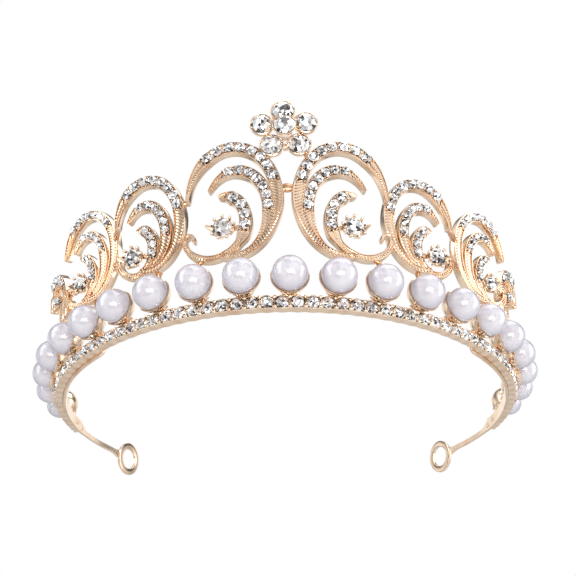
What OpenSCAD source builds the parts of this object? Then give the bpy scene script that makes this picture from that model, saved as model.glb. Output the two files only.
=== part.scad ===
// Bridal tiara: a stone-set rail, a row of pearls, four graded scrolls a side and a
// flower on top. Units are millimetres. +Z is up and the front of the tiara faces -Y.

/* [Band] */
// Radius of the pearl line across the front
front_r = 70; // [66:1:74]
// Radius of the pearl line at the sides
side_r = 60; // [56:1:64]
// Length of the rail each side of the middle, along the pearl line
rail_reach = 114; // [112:1:116]
// Height of the rail
rail_h = 3.5; // [3.4:0.1:4]
// Thickness of the rail, front to back
rail_t = 2; // [1.9:0.1:2.3]
// Diameter of the stones set in the rail
rail_stone_d = 3; // [2.8:0.1:3]
// Spacing of the rail stones, along the pearl line
rail_stone_pitch = 3.5; // [3.5:0.1:3.8]

/* [Pearls] */
// Diameter of one pearl
pearl_d = 8; // [7.6:0.1:8.4]
// Spacing of the pearls
pearl_pitch = 10.8; // [10.6:0.1:10.9]
// Pearls on each side of the middle one
pearls_each_side = 10; // [10:1:10]

/* [Scrolls] */
// Distance of each scroll from the middle, along the pearl line: left half, then right
scroll_at = [[12.6, 33.6, 54.4, 75.5], [12.6, 32.7, 54.6, 73.5]];
// Outward lean of each scroll, left and right: the tiara is soldered by hand
scroll_lean = [[10, 15, 14, 12], [10, 10, 11, 10]];
// Tilt of each scroll away from the middle, left and right
scroll_roll = [[1.5, 1.5, 0, 0], [0, 0, 0, 0]];
// How far each scroll turns back towards the front, against the curve of the rail
scroll_turn = [0, 7, 12, 8];
// Stones in the outer, middle and inner crescent of each scroll
scroll_stones = [[8, 7, 4], [8, 6, 4], [7, 5, 4], [4, 2, 0]];
// Thickness of the scroll castings
plate_t = 2.2; // [2:0.1:2.4]
// Diameter of the small stones in each scroll
pave_d = [2.3, 2.1, 1.9, 1.9];
// Spacing of the small stones in the outer, middle and inner crescent of each scroll
pave_pitch = [[3, 2.6, 2.75], [2.6, 2.3, 2.25], [2.3, 2.1, 2.05], [2.4, 2.2, 2.2]];

/* [Settings] */
// Diameter of the solitaire stone in each of the three larger scrolls
solitaire_d = [4.8, 4.4, 4];
// Diameter of the flower's petal stones
petal_d = 5.3; // [5.1:0.1:5.5]
// Diameter of the flower's centre stone
centre_d = 5.2; // [5:0.1:5.3]

/* [End loops] */
// Outer diameter of each end ring
ring_d = 10.4; // [10:0.2:12]
// Diameter of the hole in each end ring
ring_hole_d = 6.4; // [6:0.2:7]
// Where each stem leaves the curve of the pearl line and runs straight on
stem_to = 131; // [129:0.5:133]
// Distance from there to the ring's centre
ring_reach = 10.5; // [10:0.1:11]

/* [Hidden] */
$fn = 48;

gold = "#E3BC93";
crystal = "#E8EEF2";
nacre = "#EDE9F0";

clear = 0.05;            // glue gap round a stone or a peg
deg = 180 / PI;

// The pearl line: one arc across the front and a tighter one down each side, which
// starts where the front has turned by the angle of a 3-4-5 triangle.
front_half = atan2(4, 3);
front_len = front_r * front_half / deg;
side_cx = (front_r - side_r) * sin(front_half);
front_face = 46.9;       // from the origin to the middle pearl
front_cy = front_r - front_face;
side_cy = front_cy - (front_r - side_r) * cos(front_half);

// Heights. The end rings hang lowest, and the part stands on them.
ring_drop = 6.9;         // from the pearl centres down to the ring centres
pearl_z = ring_drop + ring_d / 2;
rail_top = pearl_z - 3.4;
rail_mid = rail_top - rail_h / 2;

// Offsets inward from the pearl line
rail_face = 3.1;
rail_back = rail_face + rail_t;
rail_groove = 1;         // depth of the channel that holds the stones
loop_t = 0.8;            // thickness of the loop strips
wall_inset = 3;          // middle of the scroll castings at pearl height
wall_lean = 10;          // outward lean of the wall at the middle

// Side strips and end rings
strip_from = 54;         // front end of each strip, along the pearl line
strip_h = 3;
stem_h = 1.6;
ring_t = 1;
root = 0.1;              // how far a thinner piece is rooted inside a thicker one
strip_low = pearl_z - ring_drop - 0.6;

// Scroll strokes, as stretches of ellipses:
// [centre x, centre height, half width, half height, start angle, end angle]. An inner
// crescent has a wider half width and half height past 180 degrees, for its long tail.
// x runs outwards along the rail, and heights are above the scroll's foot.
outer_bow = [
    [0.1, 15.6, 10.7, 14.7, 3, 290],
    [-0.1, 13.1, 8.5, 11.7, 5, 290],
    [-0.2, 13, 8.4, 11.6, 8, 290],
    [0, 9.4, 5.2, 8.2, 3, 290]
];
middle_bow = [
    [-0.8, 12.4, 7.7, 11.1, 34, 262],
    [0.6, 10.4, 5.4, 7.9, 34, 262],
    [0.4, 10.8, 5.4, 8.2, 34, 262],
    [0.6, 6.8, 2.9, 4.6, 34, 262]
];
inner_bow = [
    [2.2, 10, 5.2, 7, 77, 262, 7.4, 8.6],
    [2.3, 7.4, 3.6, 4.9, 80, 262, 4.9, 6.1],
    [2.4, 8, 3.6, 5.3, 80, 262, 4.8, 6.7]
];
foot_bow = [
    [5.3, 6.1, 6.1, 5.15, -116, 6],
    [3.7, 5.2, 4.3, 4.3, -116, 6],
    [3.7, 5.2, 4.3, 4.3, -116, 6],
    [2.4, 3.9, 2.9, 2.9, -116, 6]
];
scroll_foot = 5.6;       // from the pearl centres up to the foot
solitaire_pos = [[2.4, 8.4], [4.2, 5.7], [3, 6.5]];
groove_depth = 0.7;
border = 0.35;           // wall beside a stone channel

// Stroke widths, as [share of the length, width], for a stroke that is w wide at its stones
function outer_widths(w) = [[0, 0.9], [0.12, 2], [0.2, w], [0.64, w], [0.8, 2], [1, 1.5]];
function middle_widths(w) = [[0, 0.5], [0.15, 1.9], [0.27, w], [0.67, w], [0.85, 2], [1, 1.2]];
function inner_widths(w) = [[0, 0.9], [0.08, 2], [0.14, w], [0.66, w], [0.76, 1.8], [1, 1.3]];
foot_widths = [[0, 1.5], [0.5, 1.8], [0.85, 1.3], [1, 1.1]];

// The first stone of each stroke, as an angle on its ellipse
first_stone = [[58, 80, 120], [54, 78, 118], [54, 78, 118], [66, 84, 120]];
last_scroll = 3;         // the smallest scroll has no inner crescent or solitaire
setting_back = 0.8;      // back of the crown settings, behind the wall's middle

petal_ring = 5.6;        // from the flower's middle to a petal's middle
flower_z = 40;           // flower's middle above the pearl centres, up the wall
flower_x = -0.9;         // the flower is soldered on a little off the middle
flower_tilt = 3;
cup_wall = 0.35;
petal_wall = 0.65;

// Direction and position of the pearl line at a distance from the middle
function on_front(s) = s <= front_len;
function turn_at(s) = on_front(s) ? s / front_r * deg : front_half + (s - front_len) / side_r * deg;
function arc_x(s) = on_front(s) ? front_r * sin(turn_at(s)) : side_cx + side_r * sin(turn_at(s));
function arc_y(s) = on_front(s)
    ? front_cy - front_r * cos(turn_at(s))
    : side_cy - side_r * cos(turn_at(s));

// Points and outward directions on a stroke's ellipse
function in_tail(b, a) = len(b) > 6 && a > 180;
function half_w(b, a) = in_tail(b, a) ? b[6] : b[2];
function half_h(b, a) = in_tail(b, a) ? b[7] : b[3];
function bow_point(b, a) =
    [b[0] - b[2] + half_w(b, a) * (1 + cos(a)), b[1] + half_h(b, a) * sin(a)];
function bow_normal(b, a) =
    let (n = [cos(a) / half_w(b, a), sin(a) / half_h(b, a)]) n / norm(n);
// Length of a stroke from its angle a0 to a1, as a sum of short steps
function bow_length(b, a0, a1, steps = 24) =
    let (d = (a1 - a0) / steps, p = [for (i = [0:steps]) bow_point(b, a0 + i * d)])
    let (hops = [for (i = [1:steps]) norm(p[i] - p[i - 1])])
    hops * [for (h = hops) 1];
// Angle that lies a given length along a stroke from a0
function bow_angle(b, a0, len) =
    lookup(len, [for (a = [a0:5:a0 + 200]) [bow_length(b, a0, a), a]]);

// Places children on the pearl line, with x along it, y inwards and z up
module on_line(s, side = 1) {
    mirror([side < 0 ? 1 : 0, 0, 0])
        translate([arc_x(s), arc_y(s), 0])
            rotate([0, 0, turn_at(s)]) children();
}

// Places children on the leaning plane of scroll i, at its foot
module on_wall(i, side) {
    on_line(scroll_at[half(side)][i], side)
        rotate([0, 0, -scroll_turn[i]])
            translate([0, wall_inset, pearl_z])
                rotate([scroll_lean[half(side)][i], 0, 0])
                    translate([0, 0, scroll_foot])
                        rotate([0, scroll_roll[half(side)][i], 0]) children();
}

// The same placing for a point p on the plane of scroll i, for the joints between scrolls
function half(side) = side < 0 ? 0 : 1;
function spun(p, a) = [p[0] * cos(a) - p[1] * sin(a), p[0] * sin(a) + p[1] * cos(a)];
function wall_point(i, side, p) =
    let (s = scroll_at[half(side)][i], lean = scroll_lean[half(side)][i])
    let (flat = spun(p, -scroll_roll[half(side)][i]))
    let (up = flat[1] + scroll_foot)
    let (plan = spun([flat[0], wall_inset - up * sin(lean)], turn_at(s) - scroll_turn[i]))
    [side * (arc_x(s) + plan[0]), arc_y(s) + plan[1], pearl_z + up * cos(lean)];

// Sweeps a 2D profile along the pearl line from s0 to s1: x is outward, y is up.
// Both arcs start at the point where they meet, so that their ends match exactly.
module sweep(s0, s1) {
    translate([arc_x(front_len), arc_y(front_len), 0])
        rotate([0, 0, front_half]) {
            if (s0 < front_len)
                mirror([1, 0, 0])
                    translate([0, front_r, 0])
                        rotate([0, 0, -90])
                            rotate_extrude(angle = (front_len - s0) / front_r * deg, $fn = 180)
                                translate([front_r, 0]) children();
            if (s1 > front_len)
                translate([0, side_r, 0])
                    rotate([0, 0, max(turn_at(s0) - front_half, 0) - 90])
                        rotate_extrude(angle = turn_at(s1) - max(turn_at(s0), front_half), $fn = 180)
                            translate([side_r, 0]) children();
        }
}

// A round stone standing on its small back face, with its table up
module stone(d, h) {
    rotate_extrude()
        polygon([
            [0, 0], [0.22 * d, 0], [0.5 * d, 0.52 * h],
            [0.5 * d, 0.64 * h], [0.28 * d, h], [0, h]]);
}

module rail_profile() {
    lip = (rail_h - rail_stone_d) / 2 - clear;
    difference() {
        translate([-rail_back, rail_top - rail_h]) square([rail_t, rail_h]);
        translate([-rail_face - rail_groove, rail_top - rail_h + lip])
            square([rail_groove + 1, rail_h - 2 * lip]);
    }
}

module band_rail() {
    color(gold)
        for (side = [0, 1])
            mirror([side, 0, 0])
                sweep(-1, rail_reach) rail_profile();
}

module band_stones() {
    stones = floor(rail_reach / rail_stone_pitch);
    color(crystal)
        for (side = [-1, 1], i = [0:stones - 1])
            on_line((i + 0.5) * rail_stone_pitch, side)
                translate([0, rail_face + rail_groove, rail_mid])
                    rotate([90, 0, 0]) stone(rail_stone_d, 1.5);
}

// Strip soldered inside the rail, and the thin stem that runs on to the end ring. The
// strip's round front end and the stem's parts are each rooted inside a thicker piece.
module side_strip(side) {
    stem_t = loop_t - 2 * root;
    stem_end = ring_reach - ring_d / 2 - clear;
    color(gold) {
        mirror([side < 0 ? 1 : 0, 0, 0]) {
            sweep(strip_from, rail_reach + 1)
                translate([-rail_back - loop_t, strip_low]) square([loop_t, strip_h]);
            sweep(rail_reach, stem_to)
                translate([-rail_back - loop_t + root, strip_low + 2 * root])
                    square([stem_t, stem_h]);
        }
        on_line(strip_from, side)
            translate([0, rail_back + root, strip_low + strip_h / 2])
                rotate([-90, 0, 0]) cylinder(d = strip_h - root, h = stem_t);
        on_line(stem_to, side)
            translate([-1, rail_back + 1.5 * root, strip_low + 2.5 * root])
                cube([1 + stem_end, stem_t - root, stem_h - root]);
    }
}

// Flat ring at the end of the stem
module end_ring(side) {
    color(gold)
        on_line(stem_to, side)
            translate([ring_reach, rail_back + loop_t / 2 + ring_t / 2, pearl_z - ring_drop])
                rotate([90, 0, 0])
                    difference() {
                        cylinder(d = ring_d, h = ring_t);
                        translate([0, 0, -ring_t]) cylinder(d = ring_hole_d, h = 3 * ring_t);
                    }
}

// The pearls count from the left end to the right end
function pearl_s(k) = (k - pearls_each_side - 1) * pearl_pitch;
module at_pearl(k) {
    on_line(abs(pearl_s(k)), pearl_s(k) < 0 ? -1 : 1) translate([0, 0, pearl_z]) children();
}

module pearl(k) {
    hole_d = 0.9;
    color(nacre)
        at_pearl(k)
            difference() {
                sphere(d = pearl_d);
                translate([0, 1, 0]) rotate([-90, 0, 0]) cylinder(d = hole_d, h = pearl_d);
            }
}

// A shell behind each pearl, with a peg into the pearl and a collar down to the rail
module pearl_cups() {
    lip_y = 1.4;
    shift = 0.6;         // the shell's centre lies this far inwards of the pearl's
    peg_d = 0.8;
    collar = [3.8, 1.6, 3];
    collar_y = rail_face + clear + 0.15;
    size = pearl_d + 2 * cup_wall;
    color(gold)
        for (k = [1:2 * pearls_each_side + 1])
            at_pearl(k) {
                difference() {
                    union() {
                        intersection() {
                            translate([0, shift, 0]) sphere(d = size);
                            translate([-size / 2, lip_y, -size / 2]) cube(size);
                        }
                        translate([-collar[0] / 2, collar_y, rail_top - pearl_z - 0.5])
                            cube(collar);
                    }
                    sphere(d = pearl_d + clear);
                    // room for the rail
                    translate([-size, rail_face - clear, rail_top - pearl_z - size])
                        cube([2 * size, size, size]);
                }
                translate([0, 1.5, 0])
                    rotate([-90, 0, 0]) cylinder(d = peg_d, h = pearl_d / 2 - 1.4);
            }
}

// One stroke of a scroll, tapering by a list of widths
module stroke(b, a0, a1, widths) {
    steps = 30;
    angles = [for (i = [0:steps]) a0 + (a1 - a0) * i / steps];
    half = [for (i = [0:steps]) lookup(i / steps, widths) / 2];
    polygon(concat(
        [for (i = [0:steps]) bow_point(b, angles[i]) + half[i] * bow_normal(b, angles[i])],
        [for (i = [steps:-1:0]) bow_point(b, angles[i]) - half[i] * bow_normal(b, angles[i])]));
}

// The stone channel along stroke j of scroll i, with half a stone to spare at both ends
module channel(i, j) {
    b = bows(i)[j];
    w = pave_d[i] + 2 * clear;
    first = first_stone[i][j];
    last = bow_angle(b, first, (scroll_stones[i][j] - 1) * pave_pitch[i][j]);
    stroke(b, first, last, [[0, w], [1, w]]);
    for (a = [first, last])
        translate(bow_point(b, a)) circle(d = w);
}

function bows(i) = i < last_scroll
    ? [outer_bow[i], middle_bow[i], inner_bow[i]]
    : [outer_bow[i], middle_bow[i]];

module scroll(i, side) {
    strokes = bows(i);
    bow_w = pave_d[i] + 2 * border + 2 * clear;
    widths = [outer_widths(bow_w), middle_widths(bow_w), inner_widths(bow_w)];
    crown = solitaire_pos[i];
    stub = 1.2;
    color(gold)
        on_wall(i, side)
            rotate([90, 0, 0])
                difference() {
                    linear_extrude(plate_t, center = true) {
                        for (j = [0:len(strokes) - 1])
                            stroke(strokes[j], strokes[j][4], strokes[j][5], widths[j]);
                        stroke(foot_bow[i], foot_bow[i][4], foot_bow[i][5], foot_widths);
                        translate(bow_point(foot_bow[i], foot_bow[i][5])) circle(r = 0.9);
                        // stub that carries the crown setting
                        if (i < last_scroll)
                            translate([inner_bow[i][0] - inner_bow[i][2], crown[1] - stub / 2])
                                square([crown[0] - inner_bow[i][0] + inner_bow[i][2], stub]);
                    }
                    translate([0, 0, plate_t / 2 - groove_depth])
                        linear_extrude(groove_depth + 1)
                            for (j = [0:len(strokes) - 1])
                                channel(i, j);
                    if (i < last_scroll)
                        translate([crown[0], crown[1], -plate_t])
                            cylinder(d = solitaire_d[i] + 2 * cup_wall, h = 2 * plate_t);
                }
}

module scroll_stones(i, side) {
    strokes = bows(i);
    color(crystal)
        on_wall(i, side)
            rotate([90, 0, 0])
                for (j = [0:len(strokes) - 1], n = [0:scroll_stones[i][j] - 1]) {
                    angle = bow_angle(strokes[j], first_stone[i][j], n * pave_pitch[i][j]);
                    translate(bow_point(strokes[j], angle))
                        translate([0, 0, plate_t / 2 - groove_depth]) stone(pave_d[i], 1.2);
                }
}

// Crown setting: a round seat with a ring of prongs bent over the stone's edge
module setting(i, side) {
    prongs = 9;
    prong_d = 0.7;
    seat_d = solitaire_d[i] + 2 * cup_wall;
    color(gold)
        on_wall(i, side)
            rotate([90, 0, 0])
                translate([solitaire_pos[i][0], solitaire_pos[i][1], -setting_back]) {
                    difference() {
                        cylinder(d = seat_d, h = 1.9);
                        translate([0, 0, 0.8]) cylinder(d = solitaire_d[i] + 2 * clear, h = 2);
                    }
                    for (a = [0:prongs - 1])
                        rotate([0, 0, 360 * a / prongs])
                            translate([seat_d / 2 + prong_d / 2 - 0.25, 0, 0]) {
                                cylinder(d = prong_d, h = 2.5);
                                translate([0, 0, 2.5]) sphere(d = prong_d);
                            }
                }
}

module solitaire(i, side) {
    color(crystal)
        on_wall(i, side)
            rotate([90, 0, 0])
                translate([solitaire_pos[i][0], solitaire_pos[i][1], 0.8 - setting_back])
                    stone(solitaire_d[i], 2);
}

// Flower: its plane leans with the first scrolls, and faces front
module on_flower() {
    translate([0, arc_y(0) + wall_inset, pearl_z])
        rotate([wall_lean, 0, 0])
            translate([flower_x, 0, flower_z])
                rotate([90, 0, 0]) rotate([0, 0, flower_tilt]) children();
}

petal_back = -1;         // back of the petal cups, behind the wall's middle
petal_seat = 0.2;
petal_front = 1.4;
centre_seat = 2.2;
centre_front = 3.2;

module flower_cups() {
    color(gold)
        on_flower() {
            difference() {
                union() {
                    for (a = [0:4])
                        rotate([0, 0, 90 + 72 * a])
                            translate([petal_ring, 0, petal_back])
                                cylinder(d = petal_d + 2 * petal_wall + clear, h = petal_front - petal_back);
                    translate([0, 0, petal_back]) {
                        cylinder(d = 2 * petal_ring - petal_d - 0.6, h = centre_front - petal_back);
                        cylinder(r = petal_ring - 1, h = petal_seat - petal_back - 0.4);
                    }
                    translate([0, 0, petal_front + 0.6])
                        cylinder(d = centre_d + 2 * cup_wall, h = centre_front - petal_front - 0.6);
                }
                for (a = [0:4])
                    rotate([0, 0, 90 + 72 * a])
                        translate([petal_ring, 0, petal_seat])
                            cylinder(d = petal_d + 2 * clear, h = petal_front);
                translate([0, 0, centre_seat]) cylinder(d = centre_d + 2 * clear, h = centre_front);
            }
        }
}

module flower_petal_stones() {
    color(crystal)
        on_flower()
            for (a = [0:4])
                rotate([0, 0, 90 + 72 * a])
                    translate([petal_ring, 0, petal_seat]) stone(petal_d, 2);
}

module flower_centre_stone() {
    color(crystal)
        on_flower() translate([0, 0, centre_seat]) stone(centre_d, 1.8);
}

// A short round rod from p to q
module rod(p, q, d) {
    v = q - p;
    translate(p)
        rotate([0, acos(v[2] / norm(v)), atan2(v[1], v[0])])
            cylinder(d = d, h = norm(v), $fn = 20);
}

// Solder joints: from a scroll's tip and foot to the back of the next scroll, up from the
// pearl cups, between the two first scrolls and under the flower
module solder_links() {
    post_d = 1.4;
    rod_d = 1.5;
    // angle of each joint on the back of the next scroll, for the tips and for the feet
    tip_joint = [166, 172];
    foot_joint = [212, 206];
    // [pearl count from the middle, bottom of the post, height of the post]
    posts = [[1, 3.7, 3], [2, 3.7, 3.8], [3, 3.7, 3], [5, 3.7, 3.2], [7, 3.7, 3.2]];
    color(gold) {
        on_line(0) translate([0, wall_inset, pearl_z]) rotate([wall_lean, 0, 0])
            translate([-0.3, 0, 24]) cube([3.4, 1.2, 2.2], center = true);
        for (side = [-1, 1]) {
            for (i = [0, 1]) {
                rod(wall_point(i, side, bow_point(outer_bow[i], outer_bow[i][4] + 3)),
                    wall_point(i + 1, side, bow_point(outer_bow[i + 1], tip_joint[i])), rod_d);
                rod(wall_point(i, side, bow_point(foot_bow[i], foot_bow[i][5])),
                    wall_point(i + 1, side, bow_point(outer_bow[i + 1], foot_joint[i])), rod_d);
            }
            for (p = posts)
                on_line(p[0] * pearl_pitch, side)
                    translate([0, 2.3, pearl_z + p[1]]) cylinder(d = post_d, h = p[2]);
            on_line(0, side) translate([0, wall_inset, pearl_z]) rotate([wall_lean, 0, 0])
                translate([4.7, 0, 33.2]) sphere(d = 1.8);
        }
    }
}

band_rail();
band_stones();
side_strip(-1);  // side_strip_left
side_strip(1);  // side_strip_right
end_ring(-1);  // end_ring_left
end_ring(1);  // end_ring_right
pearl_cups();
pearl(1);  // pearl_01
pearl(2);  // pearl_02
pearl(3);  // pearl_03
pearl(4);  // pearl_04
pearl(5);  // pearl_05
pearl(6);  // pearl_06
pearl(7);  // pearl_07
pearl(8);  // pearl_08
pearl(9);  // pearl_09
pearl(10);  // pearl_10
pearl(11);  // pearl_11
pearl(12);  // pearl_12
pearl(13);  // pearl_13
pearl(14);  // pearl_14
pearl(15);  // pearl_15
pearl(16);  // pearl_16
pearl(17);  // pearl_17
pearl(18);  // pearl_18
pearl(19);  // pearl_19
pearl(20);  // pearl_20
pearl(21);  // pearl_21
scroll(0, -1);  // scroll_1_left
scroll(1, -1);  // scroll_2_left
scroll(2, -1);  // scroll_3_left
scroll(3, -1);  // scroll_4_left
scroll(0, 1);  // scroll_1_right
scroll(1, 1);  // scroll_2_right
scroll(2, 1);  // scroll_3_right
scroll(3, 1);  // scroll_4_right
scroll_stones(0, -1);  // scroll_1_left_stones
scroll_stones(1, -1);  // scroll_2_left_stones
scroll_stones(2, -1);  // scroll_3_left_stones
scroll_stones(3, -1);  // scroll_4_left_stones
scroll_stones(0, 1);  // scroll_1_right_stones
scroll_stones(1, 1);  // scroll_2_right_stones
scroll_stones(2, 1);  // scroll_3_right_stones
scroll_stones(3, 1);  // scroll_4_right_stones
setting(0, -1);  // setting_1_left
setting(1, -1);  // setting_2_left
setting(2, -1);  // setting_3_left
setting(0, 1);  // setting_1_right
setting(1, 1);  // setting_2_right
setting(2, 1);  // setting_3_right
solitaire(0, -1);  // solitaire_1_left
solitaire(1, -1);  // solitaire_2_left
solitaire(2, -1);  // solitaire_3_left
solitaire(0, 1);  // solitaire_1_right
solitaire(1, 1);  // solitaire_2_right
solitaire(2, 1);  // solitaire_3_right
flower_cups();
flower_petal_stones();
flower_centre_stone();
solder_links();
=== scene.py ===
"""Bridal tiara: a stone-set rail, a row of pearls, graded scrolls and a flower.

Shapes are worked out in millimetres and become metres when a piece is finished. The
pearl line is the curve through the pearl centres; s is the distance along it from the
middle, and side is 1 for the right half of the tiara and -1 for the left.
"""

import math

import bmesh
import bpy
from mathutils import Matrix, Vector


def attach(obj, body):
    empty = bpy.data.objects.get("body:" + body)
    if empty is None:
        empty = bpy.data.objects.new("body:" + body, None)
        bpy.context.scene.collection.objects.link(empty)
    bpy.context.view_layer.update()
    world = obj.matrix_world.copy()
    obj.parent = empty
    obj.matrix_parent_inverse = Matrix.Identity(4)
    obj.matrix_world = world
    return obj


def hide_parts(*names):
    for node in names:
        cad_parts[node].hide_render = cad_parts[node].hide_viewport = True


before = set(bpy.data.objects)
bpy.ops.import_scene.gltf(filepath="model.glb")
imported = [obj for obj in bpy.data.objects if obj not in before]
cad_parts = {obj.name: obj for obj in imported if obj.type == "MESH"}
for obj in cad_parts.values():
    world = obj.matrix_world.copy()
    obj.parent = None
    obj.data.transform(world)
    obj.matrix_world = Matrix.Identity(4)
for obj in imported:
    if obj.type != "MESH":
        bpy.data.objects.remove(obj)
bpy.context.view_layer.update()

bl_info = {
    "name": "Bridal Tiara",
    "version": (1, 0, 0),
    "blender": (4, 5, 0),
    "location": "View3D > Sidebar > Tiara",
    "description": "Builds a pearl and crystal tiara piece by piece",
    "category": "Object",
}

MM = 0.001
SIDES = (("left", -1), ("right", 1))

# The pearl line: one arc across the front and a tighter one down each side
FRONT_R = 70.0
SIDE_R = 60.0
FRONT_HALF = math.atan2(4, 3)
FRONT_LEN = FRONT_R * FRONT_HALF
FRONT_CY = 23.1
SIDE_CX = (FRONT_R - SIDE_R) * math.sin(FRONT_HALF)
SIDE_CY = FRONT_CY - (FRONT_R - SIDE_R) * math.cos(FRONT_HALF)

# Heights above the lowest point of the end rings
PEARL_Z = 12.1
RAIL_MID = 6.95
RING_Z = 5.2

# The rail and its stones, with offsets inward from the pearl line
RAIL_REACH = 114.0
RAIL_FACE = 3.1
RAIL_BACK = 5.1
RAIL_GROOVE = 1.0
RAIL_STONES = 32
RAIL_PITCH = 3.5
RAIL_STONE = 3.0
RAIL_STONE_H = 1.6
RAIL_HALF = 1.75

PEARL_D = 8.0
PEARL_PITCH = 10.8
PEARLS_EACH_SIDE = 10

# The side strips, their stems and the end rings
STRIP_FROM = 54.0
STRIP_LOW = 4.6
STEM_TO = 131.0
RING_REACH = 10.5
LOOP_T = 0.8

# The scrolls, from the middle outwards, with a row each for the left and the right half
SCROLL_AT = {-1: (12.6, 33.6, 54.4, 75.5), 1: (12.6, 32.7, 54.6, 73.5)}
SCROLL_LEAN = {-1: (10, 15, 14, 12), 1: (10, 10, 11, 10)}
SCROLL_ROLL = {-1: (1.5, 1.5, 0, 0), 1: (0, 0, 0, 0)}
SCROLL_TURN = (0, 7, 12, 8)
WALL_LEAN = 10
SCROLL_FOOT = 5.6
WALL_INSET = 3.0
PLATE_T = 2.2
SETTING_BACK = 0.8
PAVE_D = (2.3, 2.1, 1.9, 1.9)
PAVE_PITCH = ((3.0, 2.6, 2.75), (2.6, 2.3, 2.25), (2.3, 2.1, 2.05), (2.4, 2.2))
PAVE_H = 1.25
PAVE_SINK = 0.5
# A small stone overhangs its bed, unless that would close the gap to its neighbour
PAVE_OVERHANG = 0.4
PAVE_GAP = 0.1
BORDER = 0.4
FIRST_STONE = ((58, 80, 120), (54, 78, 118), (54, 78, 118), (66, 84))
STONE_COUNTS = ((8, 7, 4), (8, 6, 4), (7, 5, 4), (4, 2))

# Strokes as stretches of ellipses: centre x, centre height, half width, half height,
# start angle and end angle. x runs outwards, heights are above the scroll's foot. An
# inner crescent ends with the half width and half height of its tail, past 180 degrees.
OUTER_BOWS = (
    (0.1, 15.6, 10.7, 14.7, 3, 290),
    (-0.1, 13.1, 8.5, 11.7, 5, 290),
    (-0.2, 13.0, 8.4, 11.6, 8, 290),
    (0.0, 9.4, 5.2, 8.2, 3, 290),
)
MIDDLE_BOWS = (
    (-0.8, 12.4, 7.7, 11.1, 34, 262),
    (0.6, 10.4, 5.4, 7.9, 34, 262),
    (0.4, 10.8, 5.4, 8.2, 34, 262),
    (0.6, 6.8, 2.9, 4.6, 34, 262),
)
INNER_BOWS = (
    (2.2, 10.0, 5.2, 7.0, 77, 262, 7.4, 8.6),
    (2.3, 7.4, 3.6, 4.9, 80, 262, 4.9, 6.1),
    (2.4, 8.0, 3.6, 5.3, 80, 262, 4.8, 6.7),
)
FOOT_BOWS = (
    (5.3, 6.1, 6.1, 5.15, -116, 6),
    (3.7, 5.2, 4.3, 4.3, -116, 6),
    (3.7, 5.2, 4.3, 4.3, -116, 6),
    (2.4, 3.9, 2.9, 2.9, -116, 6),
)
# Stroke widths by share of the length; None stands for the width at the stones
OUTER_WIDTHS = ((0, 0.9), (0.12, 2.0), (0.2, None), (0.64, None), (0.8, 2.0), (1, 1.5))
MIDDLE_WIDTHS = ((0, 0.5), (0.15, 1.9), (0.27, None), (0.67, None), (0.85, 2.0), (1, 1.2))
INNER_WIDTHS = ((0, 0.9), (0.08, 2.0), (0.14, None), (0.66, None), (0.76, 1.8), (1, 1.3))
FOOT_WIDTHS = ((0, 1.5), (0.5, 1.8), (0.85, 1.3), (1, 1.1))
CURL_WIDTHS = ((0, 1.1), (1, 0.8))
ROW_BOWS = (OUTER_BOWS, MIDDLE_BOWS, INNER_BOWS)
ROW_WIDTHS = (OUTER_WIDTHS, MIDDLE_WIDTHS, INNER_WIDTHS)
# Lean of the hatching bars in degrees: at the tips, on the tails, on the inner crescents
TIP_LEAN = 55
TAIL_LEAN = 32
INNER_LEAN = 20

SOLITAIRE_AT = ((2.4, 8.4), (4.2, 5.7), (3.0, 6.5))
SOLITAIRE_D = (4.8, 4.4, 4.0)
SOLITAIRE_H = 2.1
SOLITAIRE_SEAT = 0.8

# The flower
PETALS = 5
PETAL_D = 5.3
PETAL_H = 2.0
CENTRE_D = 5.2
CENTRE_H = 1.8
PETAL_RING = 5.6
FLOWER_Z = 40.0
FLOWER_X = -0.9
FLOWER_TILT = 3
PETAL_SEAT = 0.2
CENTRE_SEAT = 2.2

# Turn of each stone or pearl from the one before it, in radians
PAVE_SPIN = 0.37
RAIL_SPIN = 0.41
PEARL_SPIN = 0.8

# Edges that turn by more than this many degrees stay crisp
CREASE = 42

# The stage, in metres and watts: a lamp has a name, a place, a width, a height and a power
AIM = (0, 0, 0.03)
LAMPS = (
    ("top_softbox", (0.1, -0.1, 0.5), 0.5, 0.4, 1.1),
    ("camera_softbox", (0.02, -0.341, -0.144), 0.26, 0.18, 0.5),
    ("sparkle_lamp", (0.05, -0.3, -0.07), 0.06, 0.055, 0.12),
    ("left_strip", (-0.4, -0.2, 0.15), 0.2, 0.5, 0.6),
    ("right_strip", (0.42, -0.1, 0.05), 0.2, 0.5, 0.5),
)
CARD_AT = (-0.035, -0.243, -0.162)
CARD_AIM = (0, 0, 0.02)
CARD_WIDTH = 0.28
CARD_HEIGHT = 0.1
CAMERA_AT = (-0.00328, -0.1612, -0.0684)
CAMERA_YAW = -0.0244
CAMERA_CLIMB = 0.5905
CAMERA_ROLL = -0.0165


class TiaraSizes(bpy.types.PropertyGroup):
    """Small sizes of the metalwork."""

    rim_width: bpy.props.FloatProperty(
        name="Rim width", description="Raised rim along both edges of a scroll stroke",
        default=0.3 * MM, unit="LENGTH")
    bead_width: bpy.props.FloatProperty(
        name="Bead width", description="Beads that hold the small stones",
        default=0.62 * MM, unit="LENGTH")
    hatch_pitch: bpy.props.FloatProperty(
        name="Hatch pitch", description="Spacing of the raised hatching on the scroll tails",
        default=0.8 * MM, unit="LENGTH")
    rail_scallop: bpy.props.FloatProperty(
        name="Rail scallop", description="How far the rail's edges dip between its stones",
        default=0.15 * MM, unit="LENGTH")
    cup_wall: bpy.props.FloatProperty(
        name="Cup wall", description="Wall of the cups behind the pearls",
        default=0.35 * MM, unit="LENGTH")


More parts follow.
